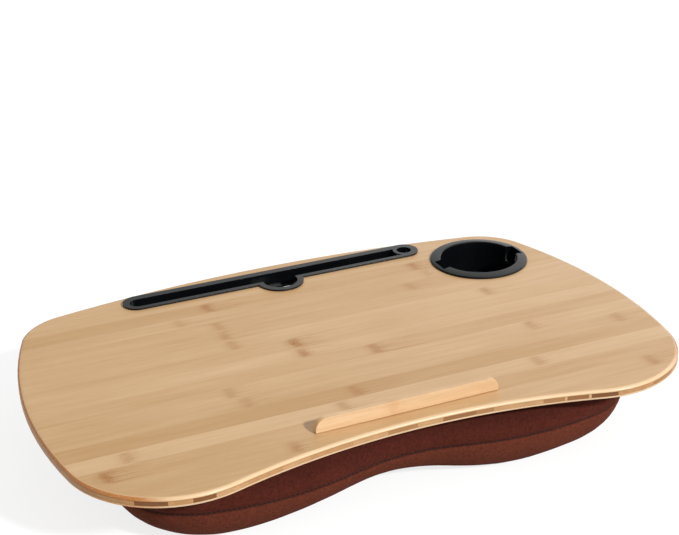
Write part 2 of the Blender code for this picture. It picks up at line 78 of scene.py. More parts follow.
# %% [markdown]
# ## The camera
# A photograph fixes where its camera stood once enough edges of known shape are
# matched. Here that was the outline of the board, the cup holder's circle and the
# tray's straight edges. The answer is an azimuth, an elevation, a small roll, a
# distance and a focal length in pixels. The camera's three axes are worked out
# from the angles, instead of with a tracking constraint, so the roll can be kept.

# %% Camera
IMAGE_WIDTH = 679
FOCAL_PIXELS = 1429.6
SENSOR_WIDTH = 36.0
AZIMUTH = math.radians(-23.349)
ELEVATION = math.radians(23.921)
ROLL = math.radians(-1.266)
CAMERA_DISTANCE = 1.42846
CLIP_END = 20
camera_target = Vector((0.07245, 0.16287, board_foot))


def linked(name, data):
    """A new object that shows some data, linked into the scene."""
    made = bpy.data.objects.new(name, data)
    bpy.context.scene.collection.objects.link(made)
    return made


def pointing(azimuth, elevation):
    """Unit vector: an azimuth turns it from -Y towards +X, and an elevation lifts it off the floor."""
    level = math.cos(elevation)
    return Vector((math.sin(azimuth) * level, -math.cos(azimuth) * level, math.sin(elevation)))


def camera_axes():
    """Right, up and back of the camera: back points from the target to the camera."""
    back = pointing(AZIMUTH, ELEVATION)
    level = Vector((math.cos(AZIMUTH), math.sin(AZIMUTH), 0))
    upright = back.cross(level)
    right = level * math.cos(ROLL) + upright * math.sin(ROLL)
    up = upright * math.cos(ROLL) - level * math.sin(ROLL)
    return right, up, back


right, up, back = camera_axes()
lens = bpy.data.cameras.new("camera")
lens.sensor_width = SENSOR_WIDTH
lens.lens = FOCAL_PIXELS * SENSOR_WIDTH / IMAGE_WIDTH
lens.clip_end = CLIP_END
camera = linked("camera", lens)
camera_turn = Matrix((right, up, back)).transposed().to_4x4()
camera.matrix_world = Matrix.Translation(camera_target + back * CAMERA_DISTANCE) @ camera_turn
bpy.context.scene.camera = camera
print("camera at", [round(c, 3) for c in camera.matrix_world.translation])

# %% [markdown]
# ## Sums of sockets
# A procedural material is mostly arithmetic. Written as single nodes it is long
# and hard to read, so a small class wraps a node's output and turns Python's own
# operators into Math nodes. Every other node comes from one method, which takes
# the node's type, its settings and the values of its sockets. It serves the
# materials and the world alike.

# %% Wires, nodes and finishes


def feed(socket, value):
    """Links a wire into a socket, or sets the socket to a plain value."""
    if isinstance(value, Wire):
        socket.id_data.links.new(value.socket, socket)
    else:
        socket.default_value = value


class Wire:
    """A node's output that takes part in Python sums. Each operator adds its Math node."""

    def __init__(self, socket):
        self.socket = socket

    def math(self, operation, *values):
        node = self.socket.id_data.nodes.new("ShaderNodeMath")
        node.operation = operation
        for socket, value in zip(node.inputs, values):
            feed(socket, value)
        return Wire(node.outputs[0])

    def __add__(self, other):
        return self.math("ADD", self, other)

    __radd__ = __add__

    def __sub__(self, other):
        return self.math("SUBTRACT", self, other)

    def __rsub__(self, other):
        return self.math("SUBTRACT", other, self)

    def __mul__(self, other):
        return self.math("MULTIPLY", self, other)

    __rmul__ = __mul__

    def __truediv__(self, other):
        return self.math("DIVIDE", self, other)

    def __abs__(self):
        return self.math("ABSOLUTE", self)

    def floor(self):
        return self.math("FLOOR", self)

    def round(self):
        return self.math("ROUND", self)

    def sine(self):
        return self.math("SINE", self)

    def at_most(self, other):
        return self.math("MINIMUM", self, other)

    def at_least(self, other):
        return self.math("MAXIMUM", self, other)

    def clamped(self):
        """The value held between 0 and 1."""
        return self.at_least(0.0).at_most(1.0)


class Nodes:
    """A node tree, with the one method that adds a node to it."""

    def __init__(self, tree):
        self.tree = tree

    def node(self, kind, settings=None, output=0, **values):
        """Adds a node, with its settings first and then its sockets, and returns one output.

        A socket's label is its name, with _ for a space, or _ and its number. A ramp's
        settings are its interpolation and its stops, each a place and a colour.
        """
        node = self.tree.nodes.new("ShaderNode" + kind)
        settings = dict(settings or {})
        stops = settings.pop("stops", None)
        ramp = getattr(node, "color_ramp", None)
        for key, value in settings.items():
            setattr(ramp or node, key, value)
        if stops:
            while len(ramp.elements) < len(stops):
                ramp.elements.new(1.0)
            for element, (place, colour) in zip(ramp.elements, stops):
                element.position = place
                element.color = (*colour, 1.0)[:4]
        for label, value in values.items():
            key = int(label[1:]) if label[1:].isdigit() else label.replace("_", " ")
            feed(node.inputs[key], value)
        return Wire(node.outputs[output])


class Finish(Nodes):
    """A material being built: its node tree and its Principled shader."""

    def __init__(self, name, **constants):
        self.material = bpy.data.materials.new(name)
        self.material.use_nodes = True
        super().__init__(self.material.node_tree)
        self.shader = self.tree.nodes["Principled BSDF"]
        for label, value in constants.items():
            title = label.replace("_", " ").title().replace("Ior", "IOR")
            self.shader.inputs[title].default_value = value

    def axes(self):
        """The three object coordinates, in metres."""
        place = self.node("TexCoord", output="Object")
        return [self.node("SeparateXYZ", output=axis, Vector=place) for axis in range(3)]

    def vector(self, x, y, z):
        """Three values as one vector."""
        return self.node("CombineXYZ", X=x, Y=y, Z=z)

    def noise(self, place, scale, detail=3.0, roughness=0.5):
        """Noise about zero, from -0.5 to 0.5 at most."""
        sockets = {"Vector": place, "Scale": scale, "Detail": detail, "Roughness": roughness}
        return self.node("TexNoise", output="Fac", **sockets) - 0.5

    def soft_step(self, value, start, end):
        """0 before start and 1 after end, with a smooth rise between them."""
        smooth = {"interpolation_type": "SMOOTHSTEP"}
        return self.node("MapRange", smooth, Value=value, From_Min=start, From_Max=end)

    def blend(self, share, first, second):
        """A colour between two colours."""
        return self.node("Mix", {"data_type": "RGBA"}, output=2, _0=share, _6=first, _7=second)

    def relief(self, height, distance):
        """Bumps the surface by a height from 0 to 1, times a distance in metres."""
        bump = self.node("Bump", Height=height, Distance=distance, Strength=1.0)
        feed(self.shader.inputs["Normal"], bump)

    def colour(self, wire):
        feed(self.shader.inputs["Base Color"], wire)

    def roughness(self, wire):
        feed(self.shader.inputs["Roughness"], wire)

    def coat(self, wire):
        feed(self.shader.inputs["Coat Weight"], wire)


def linear(red, green, blue):
    """A colour picked from a screen, 0 to 255, as the linear values that a shader uses."""
    shares = [channel / 255 for channel in (red, green, blue)]
    return tuple(s / 12.92 if s <= 0.04045 else ((s + 0.055) / 1.055) ** 2.4 for s in shares)


def solid(colour):
    """A colour with full alpha, as a socket takes it."""
    return (*colour, 1.0)


def grey(level):
    """A solid grey of a linear level."""
    return solid((level,) * 3)


print("helpers ready:", Wire.__name__, Nodes.__name__, Finish.__name__)

# %% [markdown]
# ## Pressed bamboo
# The board's top is glued from strips about 20 mm wide that run along the desk.
# Each strip is cut from another cane, so its tone differs a little, and where the
# cane had a joint the strip carries a short brown smudge with a thin crossing line.
# The pattern could be painted, but the strips are so regular that arithmetic does
# it better: the strip's number comes from Y, and a table gives each strip its first
# joint, the distance to the next one, its tone and how strong its joints are. Long
# thin noise, far finer across the strip than along it, makes the fibres. The
# strip's number also shifts that noise, so the fibres break at each glue line as
# they do on the real board.
#
# Where the face turns over at the edge the lacquer lies thicker, so the rim is shiny,
# and its colour is lightened to a pale cream, a painted highlight along the rim. At the
# desk's two ends the fibres are cut across, the lacquer soaks in and the wood turns a
# deep orange brown, more at the left end than at the right.

# %% Bamboo strips
STRIP_WIDTH = 0.0204
STRIP_START = -0.2013
TABLE_SPAN = 0.6
SHIFT_PER_STRIP = 3.7

# Each noise in the wood has its stretch along X, its scale, its detail and its roughness.
FIBRE = (0.034, 1000.0, 4.0, 0.62)
STREAK = (0.065, 210.0, 3.0, 0.6)
CLOUD = (0.18, 34.0, 2.0, 0.5)
SHORT_FIBRE = (0.11, 1300.0, 2.0, 0.5)
FIBRE_RELIEF = 0.00006

# Noises at a joint share one stretch. Each has its scale, its detail and maybe its roughness.
MARK_STRETCH = 0.42
WOBBLE_NOISE = (170.0, 2.0)
SPECK_NOISE = (700.0, 3.0, 0.6)
PATCH_NOISE = (110.0, 2.0)

# A joint's parts run from full strength to nothing between two distances in metres.
WOBBLE = 0.0045
LINE = (0.0002, 0.0011)
SECOND_LINE_PLACE = 0.0031
SECOND_LINE = (0.0002, 0.0009)
SMUDGE = (0.0005, 0.0060)
HALO = (0.002, 0.0135)
TRAIL_RISE = (0.0, 0.004)
TRAIL_FALL = (0.006, 0.055)

# Shares of the strip's width, counted from its middle.
INSIDE_STRIP = (0.30, 0.53)
GLUE_LINE = (0.488, 0.499)
GLUE_DARKNESS = 0.2

# How far the face has turned over, and how much of that turn is to the left or the right.
RIM_TURN = (0.002, 0.06)
SIDE_TURN = (0.45, 0.95)
CUT_TURN = (0.01, 0.12)
CUT_SIDEWAYS = (0.22, 0.42)
RIGHT_END_SHARE = 0.6
LEAST_LEVEL = 0.001


def strip_table(finish, strips, number):
    """A strip's first joint, joint spacing, tone and joint strength, looked up by its number.

    The table is a ramp of constant colours. A joint's place and spacing are stored as
    shares of the table's span, the place about one half, because a colour starts at 0.
    """
    stops = [
        (k / len(strips), (0.5 + joint / TABLE_SPAN, spacing / TABLE_SPAN, tone, strength))
        for k, (joint, spacing, tone, strength) in enumerate(strips)
    ]
    settings = {"interpolation": "CONSTANT", "stops": stops}
    table = finish.node("ValToRGB", settings, Fac=(number + 0.5) / len(strips))
    strength = Wire(table.socket.node.outputs["Alpha"])
    joint, spacing, tone = (finish.node("SeparateColor", output=k, Color=table) for k in range(3))
    return (joint - 0.5) * TABLE_SPAN, spacing * TABLE_SPAN, tone, strength


def joint_mark(finish, place, fibre, across, offset, spacing, strength):
    """How dark the cane's joint is: a soft smudge, two thin lines and a streaky side.

    The distance to the nearest joint is the offset less its nearest whole number of
    spacings. A little noise is added to it, so that the lines wander.
    """
    wobble = finish.noise(place, *WOBBLE_NOISE) * WOBBLE
    turns = offset / spacing
    side = (turns - turns.round()) * spacing + wobble
    away = abs(side)
    speck = finish.noise(place, *SPECK_NOISE)
    patch = finish.noise(place, *PATCH_NOISE)
    line = 1 - finish.soft_step(away, *LINE)
    second = 1 - finish.soft_step(abs(away - SECOND_LINE_PLACE), *SECOND_LINE)
    smudge = 1 - finish.soft_step(away, *SMUDGE)
    halo = 1 - finish.soft_step(away, *HALO)
    trail = finish.soft_step(side, *TRAIL_RISE) * (1 - finish.soft_step(side, *TRAIL_FALL))
    inner = 1 - finish.soft_step(abs(across - 0.5), *INSIDE_STRIP)
    body = smudge * 0.34 + halo * 0.28 + line * 0.12 + second * 0.08
    streaks = trail * (0.08 + fibre * 2.4 + speck * 0.4).at_least(0.0)
    return (body * (1 + speck * 1.3 + patch * 1.4) * inner + streaks).at_least(0.0) * strength


def edge_masks(finish):
    """The rim, the part of it above the side, and the cut ends of the fibres.

    The turn is 1 less the normal's upward part, so 0 on the face and 1 on the side. The
    ends are where the normal points to the left or the right rather than along Y.
    """
    normal = finish.node("TexCoord", output="Normal")
    east, north, rising = (finish.node("SeparateXYZ", output=k, Vector=normal) for k in range(3))
    level = abs(east) + abs(north) + LEAST_LEVEL
    sideways = (east * RIGHT_END_SHARE).at_least(0 - east) / level
    turn = 1 - rising
    rim = finish.soft_step(turn, *RIM_TURN)
    # The rim above the side, which carries the bamboo's painted highlight.
    highlight_rim = rim * (1 - finish.soft_step(turn, *SIDE_TURN))
    cut = finish.soft_step(sideways, *CUT_SIDEWAYS) * finish.soft_step(turn, *CUT_TURN)
    return rim, highlight_rim, cut


def bamboo(
    name,
    strips,
    light,
    dark,
    joint_colour,
    end_colour,
    start=STRIP_START,
    contrast=1.0,
    coat=0.18,
    edge_coat=0.0,
    # painted highlight on the rim: its share and its colour
    painted_rim_highlight=0.0,
    rim_highlight_colour=None,
):
    """A bamboo face of strips along X. Each strip is (first joint, spacing, tone, strength).

    The tone at a point is its strip's tone plus four noises, from light at 0 to dark at 1.
    Over it come the joints, the glue lines, the rim's painted highlight and the cut ends, in that
    order.
    """
    finish = Finish(name, coat_roughness=0.30, specular_ior_level=0.3)
    x, y, z = finish.axes()
    row = (y - start) / STRIP_WIDTH
    number = row.floor()
    across = row - number
    joint, spacing, tone, strength = strip_table(finish, strips, number)
    shift = number * SHIFT_PER_STRIP

    def drawn_out(stretch):
        """Object coordinates with X drawn out, and shifted from strip to strip."""
        return finish.vector(x * stretch + shift, y, z)

    fibre, streak, cloud, short_fibre = (
        finish.noise(drawn_out(stretch), *noise)
        for stretch, *noise in (FIBRE, STREAK, CLOUD, SHORT_FIBRE)
    )
    grain = fibre * 0.45 + streak * 0.85 + cloud * 0.9 + short_fibre * 0.3
    face = finish.blend((tone + grain * contrast).clamped(), solid(light), solid(dark))
    mark_place = drawn_out(MARK_STRETCH)
    mark = joint_mark(finish, mark_place, fibre, across, x - joint, spacing, strength)
    marked = finish.blend(mark.at_most(1.0), face, solid(joint_colour))
    glue = finish.soft_step(abs(across - 0.5), *GLUE_LINE) * GLUE_DARKNESS
    glued = finish.blend(glue, marked, solid(joint_colour))
    rim, highlight_rim, cut = edge_masks(finish)
    # Painted highlight: the rim above the side is lightened towards the highlight colour.
    rim_highlighted = finish.blend(highlight_rim * painted_rim_highlight, glued, solid(rim_highlight_colour or light))
    finish.colour(finish.blend((cut * (0.9 + fibre)).at_most(1.0), rim_highlighted, solid(end_colour)))
    finish.roughness(0.40 + fibre * 0.15 + mark * 0.1)
    finish.coat((coat + rim * edge_coat) * (1 - cut * 0.8))
    finish.relief(fibre * 0.6 - glue + 0.5, FIBRE_RELIEF)
    return finish.material


top_strips = (
    (0.290, 0.600, 0.52, 0.0),
    (0.290, 0.600, 0.55, 0.0),
    (-0.103, 0.327, 0.68, 0.75),
    (-0.247, 0.600, 0.76, 1.25),
    (-0.225, 0.181, 0.30, 0.60),
    (-0.025, 0.600, 0.88, 0.70),
    (-0.113, 0.358, 0.54, 0.50),
    (-0.120, 0.287, 0.44, 0.55),
    (0.022, 0.600, 0.69, 1.05),
    (-0.038, 0.600, 0.38, 0.90),
    (-0.037, 0.600, 0.50, 1.05),
    (-0.088, 0.255, 0.42, 0.65),
    (-0.088, 0.600, 0.50, 0.70),
    (-0.087, 0.194, 0.56, 0.50),
    (-0.117, 0.252, 0.60, 0.35),
    (-0.084, 0.215, 0.78, 0.90),
    (0.290, 0.600, 0.55, 0.0),
    (0.290, 0.600, 0.50, 0.0),
    (0.290, 0.600, 0.55, 0.0),
)
top_bamboo = bamboo(
    "bamboo_top",
    top_strips,
    light=linear(211, 177, 135),
    dark=linear(186, 145, 96),
    joint_colour=linear(158, 106, 52),
    end_colour=linear(170, 104, 46),
    contrast=0.85,
    edge_coat=0.08,
    # The rim's painted highlight: its share and its pale cream colour.
    painted_rim_highlight=0.60,
    rim_highlight_colour=linear(226, 196, 159),
)
print("finish of the top:", top_bamboo.name, "with", len(top_strips), "strips")

# %% [markdown]
# The underside is another sheet of the same strips, paler and without lacquer. Its
# table is the top's in reverse order, with the joints moved along and fainter. The
# ledge is cut from a single strip, so every row of its table is the same, and its
# own first strip starts in front of it.

# %% Underside and ledge
UNDER_SHIFT = 0.08
UNDER_STRENGTH = 0.7
LEDGE_START = -0.1480
LEDGE_STRIP = (-0.014, 0.600, 0.50, 0.45)
under_strips = tuple(
    (joint + UNDER_SHIFT, spacing, tone, strength * UNDER_STRENGTH)
    for joint, spacing, tone, strength in reversed(top_strips)
)
under_bamboo = bamboo(
    "bamboo_under",
    under_strips,
    light=linear(222, 192, 157),
    dark=linear(202, 167, 127),
    joint_colour=linear(176, 136, 92),
    end_colour=linear(196, 142, 92),
    coat=0.0,
)
ledge_bamboo = bamboo(
    "bamboo_ledge",
    (LEDGE_STRIP,) * len(top_strips),
    # These colours are a little paler than the top's; part of that is painted light, standing in for
    # the lamp that falls full on the ledge's front face.
    light=linear(220, 187, 147),
    dark=linear(199, 157, 112),
    joint_colour=linear(190, 132, 78),
    end_colour=linear(216, 170, 116),
    start=LEDGE_START,
    contrast=1.5,
)
print("other bamboo finishes:", under_bamboo.name, ledge_bamboo.name)

# %% [markdown]
# ## The core's end grain
# The middle layer runs the other way, so along the front edge it shows the cut
# ends of its strips: blocks of 15 to 30 mm, mostly golden, with a dark brown one
# here and there. A table along X gives the place where each block starts and one of
# six tones, and fine dots stand for the cut fibres.

# %% Core layer
BOARD_SPAN = 0.57
DOT_STRETCH = 0.2
DOT_NOISE = (1500.0, 2.0)
DOT_RELIEF = 0.00005
STAIN_STRETCH = 0.1
STAIN_NOISE = (120.0, 2.0)
PALE = linear(208, 168, 122)
LIGHT = linear(192, 149, 104)
GOLDEN = linear(182, 137, 90)
TAN = linear(164, 120, 76)
BROWN = linear(144, 99, 60)
DARK = linear(118, 74, 38)
PORE = linear(88, 50, 20)
core_blocks = (
    (-0.285, GOLDEN),
    (-0.238, DARK),
    (-0.214, GOLDEN),
    (-0.1965, DARK),
    (-0.179, LIGHT),
    (-0.152, GOLDEN),
    (-0.121, LIGHT),
    (-0.096, GOLDEN),
    (-0.060, LIGHT),
    (-0.028, TAN),
    (0.0, LIGHT),
    (0.022, BROWN),
    (0.049, TAN),
    (0.066, LIGHT),
    (0.092, LIGHT),
    (0.107, TAN),
    (0.126, PALE),
    (0.129, BROWN),
    (0.146, PALE),
    (0.148, DARK),
    (0.171, GOLDEN),
    (0.205, TAN),
    (0.232, GOLDEN),
)


def core_finish():
    """Blocks along X, each with its own tone, and dotted fibre ends."""
    finish = Finish("bamboo_core", roughness=0.5, specular_ior_level=0.3)
    x, y, z = finish.axes()
    stops = [(0.5 + place / BOARD_SPAN, tone) for place, tone in core_blocks]
    settings = {"interpolation": "CONSTANT", "stops": stops}
    tones = finish.node("ValToRGB", settings, Fac=x / BOARD_SPAN + 0.5)
    dots = finish.noise(finish.vector(x, y * DOT_STRETCH, z), *DOT_NOISE)
    stain = finish.noise(finish.vector(x, y * STAIN_STRETCH, z), *STAIN_NOISE)
    shade = (dots * 0.6 + stain * 0.5 + 0.12).clamped()
    finish.colour(finish.blend(shade, tones, solid(PORE)))
    finish.relief(dots + 0.5, DOT_RELIEF)
    return finish.material


core_bamboo = core_finish()
print("core finish:", core_bamboo.name, "with", len(core_blocks), "blocks")

# %% [markdown]
# ## Black moulded plastic
# The tray and the cup holder are a fine satin black. At a low angle it mirrors the
# white room, so the flanges read as grey while the insides stay nearly black. That
# comes from the shader's own reflection. Only a fine spark texture and a slightly
# uneven gloss are added. The cup holder's flange is the darker of the two, so it
# reflects a little less.

# %% Plastic
SPARK_NOISE = (2600.0, 2.0)
SPARK_RELIEF = 0.00002
WEAR_NOISE = (45.0, 3.0)
BLACKEST = linear(5, 6, 8)
BLACK = linear(10, 12, 15)


def plastic_finish(name, specular):
    """Satin black with spark texture."""
    finish = Finish(name, specular_ior_level=specular)
    place = finish.vector(*finish.axes())
    spark = finish.noise(place, *SPARK_NOISE)
    wear = finish.noise(place, *WEAR_NOISE)
    finish.colour(finish.blend(wear * 0.6 + 0.5, solid(BLACKEST), solid(BLACK)))
    finish.roughness(0.24 + wear * 0.10 + spark * 0.06)
    finish.relief(spark + 0.5, SPARK_RELIEF)
    return finish.material


tray_plastic = plastic_finish("tray_plastic", 0.33)
cup_plastic = plastic_finish("cup_plastic", 0.19)
print("plastic finishes:", tray_plastic.name, cup_plastic.name)

# %% [markdown]
# ## Brown brushed knit
# The cover is a thin stretch knit, brushed so that its surface is a soft matt nap.
# From a hand's width the nap is a fine even grain, with loops in rows under it and
# a slow drift of tone where the nap lies another way. The band above the seam is
# painted a darker brown than the lower panel, as painted shade from the board's
# overhang, and the painted shade deepens where the band goes under the board.
# At the seam the cloth turns into the groove and hardly any light comes back, so the
# groove is darkened there as painted shade. The cover carries an attribute named
# seam_shade for that, 1 in the groove and 0 a few millimetres away.

# %% Knit
KNIT_PITCH = 0.0011
NAP_NOISE = (1400.0, 3.0, 0.6)
NAP_RELIEF = 0.00030
GRAIN_NOISE = (420.0, 2.0)
DRIFT_NOISE = (16.0, 3.0)
SEAM_EDGE = 0.0005
band_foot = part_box("cushion_side_panel")[0].z
band_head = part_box("cushion_side_panel")[1].z


def knit_finish():
    """Brushed knit: rows of loops, a fine nap and a slow drift of tone.

    The loops are the product of two sines, whose rows lean against each other.
    """
    finish = Finish("brown_knit", roughness=0.95, specular_ior_level=0.08)
    x, y, z = finish.axes()
    place = finish.vector(x, y, z)
    nap = finish.noise(place, *NAP_NOISE)
    drift = finish.noise(place, *DRIFT_NOISE)
    turn = math.tau / KNIT_PITCH
    loops = ((z * 1.3 + y * 0.5) * turn).sine() * ((x + y * 0.5) * turn).sine()
    grain = finish.noise(place, *GRAIN_NOISE)
    tone = (nap * 0.8 + drift * 0.5 + grain * 0.9 + loops * 0.05 + 0.5).clamped()

    def shades(deep, bright):
        """The cloth's tone between two colours."""
        return finish.blend(tone, solid(linear(*deep)), solid(linear(*bright)))

    lower = shades((65, 28, 17), (112, 58, 42))
    # Painted shade: the band is a darker brown than the lower panel, and darker still towards the
    # board, standing in for the shadow under the board's overhang.
    climb = finish.soft_step(z, band_foot, band_head)
    band_painted_shade = finish.blend(climb, shades((51, 19, 12), (97, 45, 33)), shades((36, 13, 9), (78, 35, 27)))
    above_seam = finish.soft_step(z, band_foot - SEAM_EDGE, band_foot + SEAM_EDGE)
    cover = finish.blend(above_seam, lower, band_painted_shade)
    # Painted shade in the seam's groove, from the cover's seam_shade attribute.
    groove_shade = finish.node("Attribute", {"attribute_name": "seam_shade"}, output="Fac")
    finish.colour(finish.blend(groove_shade, cover, solid(linear(26, 12, 10))))
    finish.relief(nap * 0.7 + loops * 0.15 + grain * 0.3 + 0.5, NAP_RELIEF)
    return finish.material


brown_knit = knit_finish()
print("knit finish:", brown_knit.name, "band from", round(band_foot, 4), "to", round(band_head, 4))

# %% [markdown]
# ## Thread and tapes
# The seam is sewn with dark thread, and the cushion holds to the board with hook
# and loop tape. These are small and mostly hidden, so each gets one grain.

# %% Thread and tapes
GRAIN_DARKNESS = 0.55


def grained_finish(name, colour, scale, depth, **constants):
    """One colour with a fine grain in its tone and its relief."""
    finish = Finish(name, **constants)
    grain = finish.noise(finish.vector(*finish.axes()), scale, 3.0)
    darker = tuple(channel * GRAIN_DARKNESS for channel in colour)
    finish.colour(finish.blend((grain + 0.5).clamped(), solid(darker), solid(colour)))
    finish.relief(grain + 0.5, depth)
    return finish.material


seam_thread = grained_finish("seam_thread", linear(36, 16, 14), 3000.0, 0.0001, roughness=0.8)
hook_tape = grained_finish("hook_tape", linear(44, 42, 42), 1700.0, 0.0005, roughness=0.6)
loop_tape = grained_finish("loop_tape", linear(54, 50, 49), 1100.0, 0.0006, roughness=0.95)
print("small finishes:", seam_thread.name, hook_tape.name, loop_tape.name)

# %% [markdown]
# ## Hard pieces
# The solids of the board, tray, cup holder and ledge already have the right shape.
# They arrive as loose triangles with sharp edges, though, and real edges are always
# a little round, which is what makes them catch the light. So each one is copied,
# its points are merged, flat neighbours are joined into one face, and the plastic
# pieces get a narrow bevel. Shading weighted to the large faces keeps those flat.
# The solid that a piece stands for is hidden and stays for collision. The tapes are
# plain enough to be shown as they are.

# %% Dress the hard pieces
MERGE_DISTANCE = 0.00001
FLAT_ANGLE = math.radians(0.4)
SHARP_ANGLE = math.radians(32)
PLASTIC_EDGE = 0.0004
EDGE_SEGMENTS = 3


def cleaned(mesh, flat_angle=None):
    """Merges doubled points, joins flat neighbours if asked, and turns the faces outwards."""
    shape = bmesh.new()
    shape.from_mesh(mesh)
    bmesh.ops.remove_doubles(shape, verts=shape.verts, dist=MERGE_DISTANCE)
    if flat_angle:
        bmesh.ops.dissolve_limit(
            shape, angle_limit=flat_angle, verts=shape.verts, edges=shape.edges, delimit=set()
        )
    bmesh.ops.recalc_face_normals(shape, faces=shape.faces)
    shape.to_mesh(mesh)
    shape.free()
    mesh.shade_smooth()


def dressed(node, material, edge_width=0.0):
    """A merged, bevelled and smoothly shaded copy of a solid, which it replaces."""
    source = frame["nodes"][node]
    mesh = source.data.copy()
    mesh.name = node + "_surface"
    cleaned(mesh, FLAT_ANGLE)
    mesh.set_sharp_from_angle(angle=SHARP_ANGLE)
    mesh.materials.clear()
    mesh.materials.append(material)
    piece = linked(node + "_surface", mesh)
    if edge_width:
        bevel = piece.modifiers.new("rounded_edges", "BEVEL")
        bevel.width = edge_width
        bevel.segments = EDGE_SEGMENTS
        bevel.limit_method = "ANGLE"
        bevel.angle_limit = SHARP_ANGLE
        bevel.harden_normals = True
    weighted = piece.modifiers.new("face_weighted_shading", "WEIGHTED_NORMAL")
    weighted.keep_sharp = True
    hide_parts(node)
    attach(piece, source["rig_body"])
    return piece


pieces = [
    dressed("board_top_ply", top_bamboo),
    dressed("board_core_ply", core_bamboo),
    dressed("board_bottom_ply", under_bamboo),
    dressed("media_tray", tray_plastic, PLASTIC_EDGE),
    dressed("cup_holder", cup_plastic, PLASTIC_EDGE),
    dressed("device_ledge", ledge_bamboo),
]
for name, solid_object in frame["nodes"].items():
    if "strip" in name:
        solid_object.data.materials.clear()
        solid_object.data.materials.append(hook_tape if name.startswith("hook") else loop_tape)
print([(piece.name, len(piece.data.polygons)) for piece in pieces])

# %% [markdown]
# ## The cushion's form
# The cover is sewn from two panels. A band runs round the side from the board to
# the seam, and a wide panel below it goes over the two bead bolsters, with a soft
# valley between them. A designer would draw the plan of the seam and carry a
# profile round it, and that is how it is made here. The plan is read off the frame
# by shooting level rays at the side band from outside, at many angles and heights.
# A short Fourier series then smooths away the corners of the frame's straight
# facets. Columns of the grid are angles about the cushion's middle, and rows run
# from the liner on top, down the side, round the lower corner and in to a short
# spine, where the front and back halves meet.

# %% Measure the cushion
COLUMNS = 480
SIDE_LEVELS = 12
LEVEL_MARGIN = 0.0002
HARMONICS = 56
HARMONIC_FALL = 4
RAY_START = 0.6
SPINE_CENTRE = np.array((0.0, -0.028))
SPINE_HALF_LENGTH = 0.052
side_low, side_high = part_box("cushion_side_panel")
liner_low, liner_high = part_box("cushion_top_liner")
seam_z = side_low.z
angles = np.linspace(0, math.tau, COLUMNS, endpoint=False)
directions = np.column_stack((np.cos(angles), np.sin(angles)))


def smoothed(radii):
    """Radii of a closed run whose facets are rounded off.

    Each harmonic is kept by e to the power of minus (its number / HARMONICS) to the fourth.
    """
    waves = np.fft.rfft(radii)
    number = np.arange(len(waves))
    waves *= np.exp(-((number / HARMONICS) ** HARMONIC_FALL))
    return np.fft.irfft(waves, len(radii))


def surface_of(node):
    """A search tree of a solid's faces."""
    mesh = frame["nodes"][node].data
    return BVHTree.FromPolygons([v.co for v in mesh.vertices], [p.vertices for p in mesh.polygons])


def measured_radii(node, z):
    """Distance from the middle to a solid's outer side, at each angle, on a level plane."""
    tree = surface_of(node)
    radii = []
    for x, y in directions:
        start = Vector((*SPINE_CENTRE, z)) + Vector((x, y, 0)) * RAY_START
        hit = tree.ray_cast(start, Vector((-x, -y, 0)))[0]
        radii.append(math.hypot(hit.x - SPINE_CENTRE[0], hit.y - SPINE_CENTRE[1]))
    return smoothed(np.array(radii))


side_levels = np.linspace(seam_z + LEVEL_MARGIN, side_high.z - LEVEL_MARGIN, SIDE_LEVELS)
side_radii = np.array([measured_radii("cushion_side_panel", z) for z in side_levels])
print("side radii", side_radii.min().round(4), "to", side_radii.max().round(4))

# %% [markdown]
# The rows below the seam follow one formula. A row is the seam's plan shrunk
# towards the spine by a share. Its depth is the bolsters' depth, less the valley,
# times a fall that is a squashed quarter circle near the edge and nearly flat
# further in. The lowest part is cut flat where it rests on the floor.

# %% Build the cushion's grid
VALLEY_X = -0.030
VALLEY_HALF_WIDTH = 0.142
VALLEY_RISE = 0.0143
CORNER_START = 0.76
CORNER_POWER = 1.87
CROWN_SHARE = 0.012
RESTING_CUT = 0.0005

# Places of the rows: down the liner's cap and the side, round the corner, and in along the bottom.
cap_shares = np.array((0.0, 0.2, 0.4, 0.6, 0.8, 0.93, 0.985))
side_rises = np.array(
    (1.0, 0.97, 0.9, 0.8, 0.68, 0.56, 0.45, 0.35, 0.26, 0.19, 0.135, 0.09, 0.055, 0.03, 0.012, 0.0)
)
corner_turns = np.array(
    (0.012, 0.026, 0.045, 0.07, 0.105, 0.15, 0.21, 0.28, 0.36, 0.45, 0.55, 0.66, 0.78, 0.89, 1.0)
)
flat_shares = np.array((0.93, 0.82, 0.70, 0.56, 0.42, 0.28, 0.14, 0.0))


def radii_at(rises):
    """Radii of the side band at shares of its height: a straight blend of two measured levels."""
    place = np.clip(rises, 0, 1) * (SIDE_LEVELS - 1)
    low = np.minimum(place.astype(int), SIDE_LEVELS - 2)
    part = (place - low)[:, None]
    return side_radii[low] * (1 - part) + side_radii[low + 1] * part


def ring(radii, shares):
    """Rows of plan points: the spine plus a share of the way out to each radius."""
    plan = SPINE_CENTRE + radii[..., None] * directions
    spine = SPINE_CENTRE + directions * (SPINE_HALF_LENGTH, 0)
    return spine + (plan - spine) * np.asarray(shares)[:, None, None]


